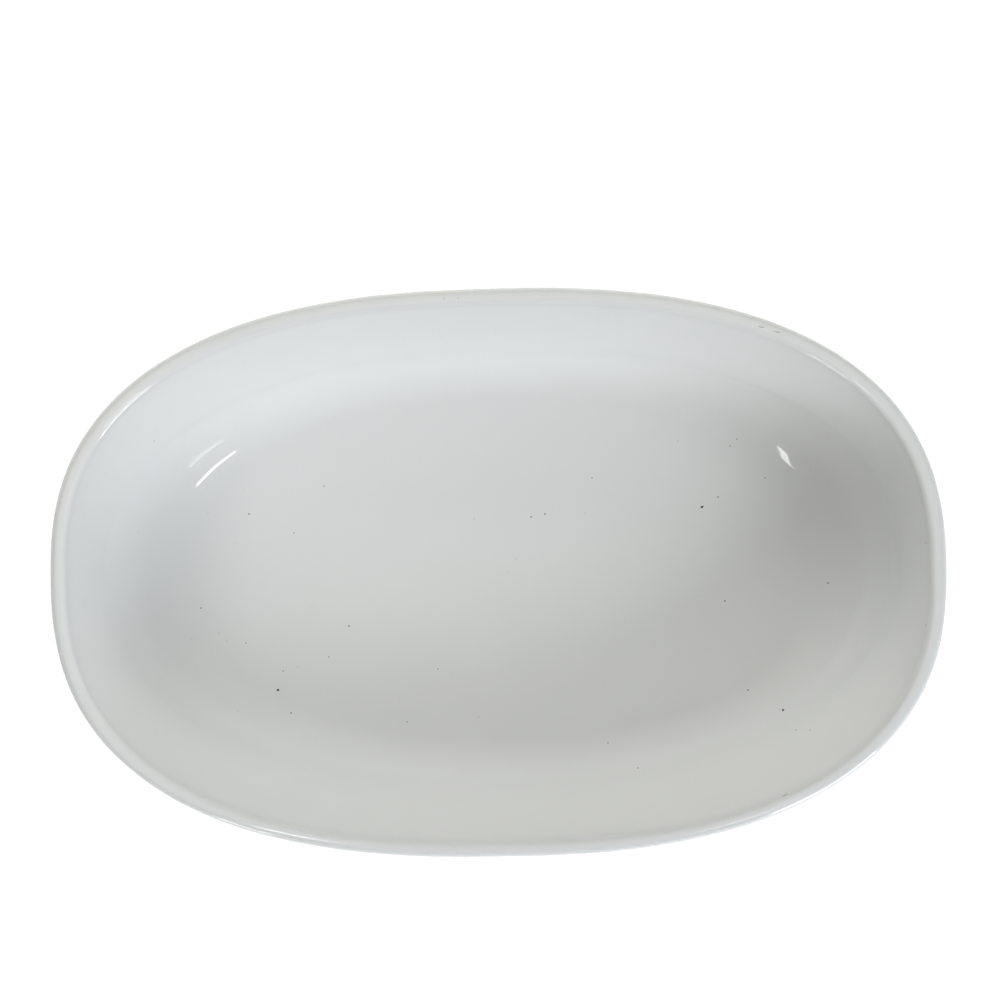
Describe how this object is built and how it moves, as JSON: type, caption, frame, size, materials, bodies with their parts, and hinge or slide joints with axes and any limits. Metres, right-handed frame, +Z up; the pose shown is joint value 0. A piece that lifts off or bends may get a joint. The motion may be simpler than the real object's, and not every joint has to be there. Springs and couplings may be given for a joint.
{
  "type": "casserole dish",
  "caption": "Deep oval casserole dish in white glazed ceramic, with outward-leaning walls, a rounded rim, a level floor and a bare clay foot ring, for baking and serving.",
  "frame": {"origin": "on the table under the middle of the dish, in the plane of the foot ring's standing face", "axes": "+Z up, X along the dish's length, Y across its width"},
  "size_m": [0.3, 0.19, 0.07],
  "materials": {
    "fired_clay": "bare fired clay, matt, on the foot ring only",
    "white_glaze": "white glaze, high gloss, with a few dark iron specks"
  },
  "bodies": {
    "root": {"ceramic_body": "fired_clay", "glaze_coat": "white_glaze", "foot_recess_glaze": "white_glaze"}
  },
  "joints": []
}
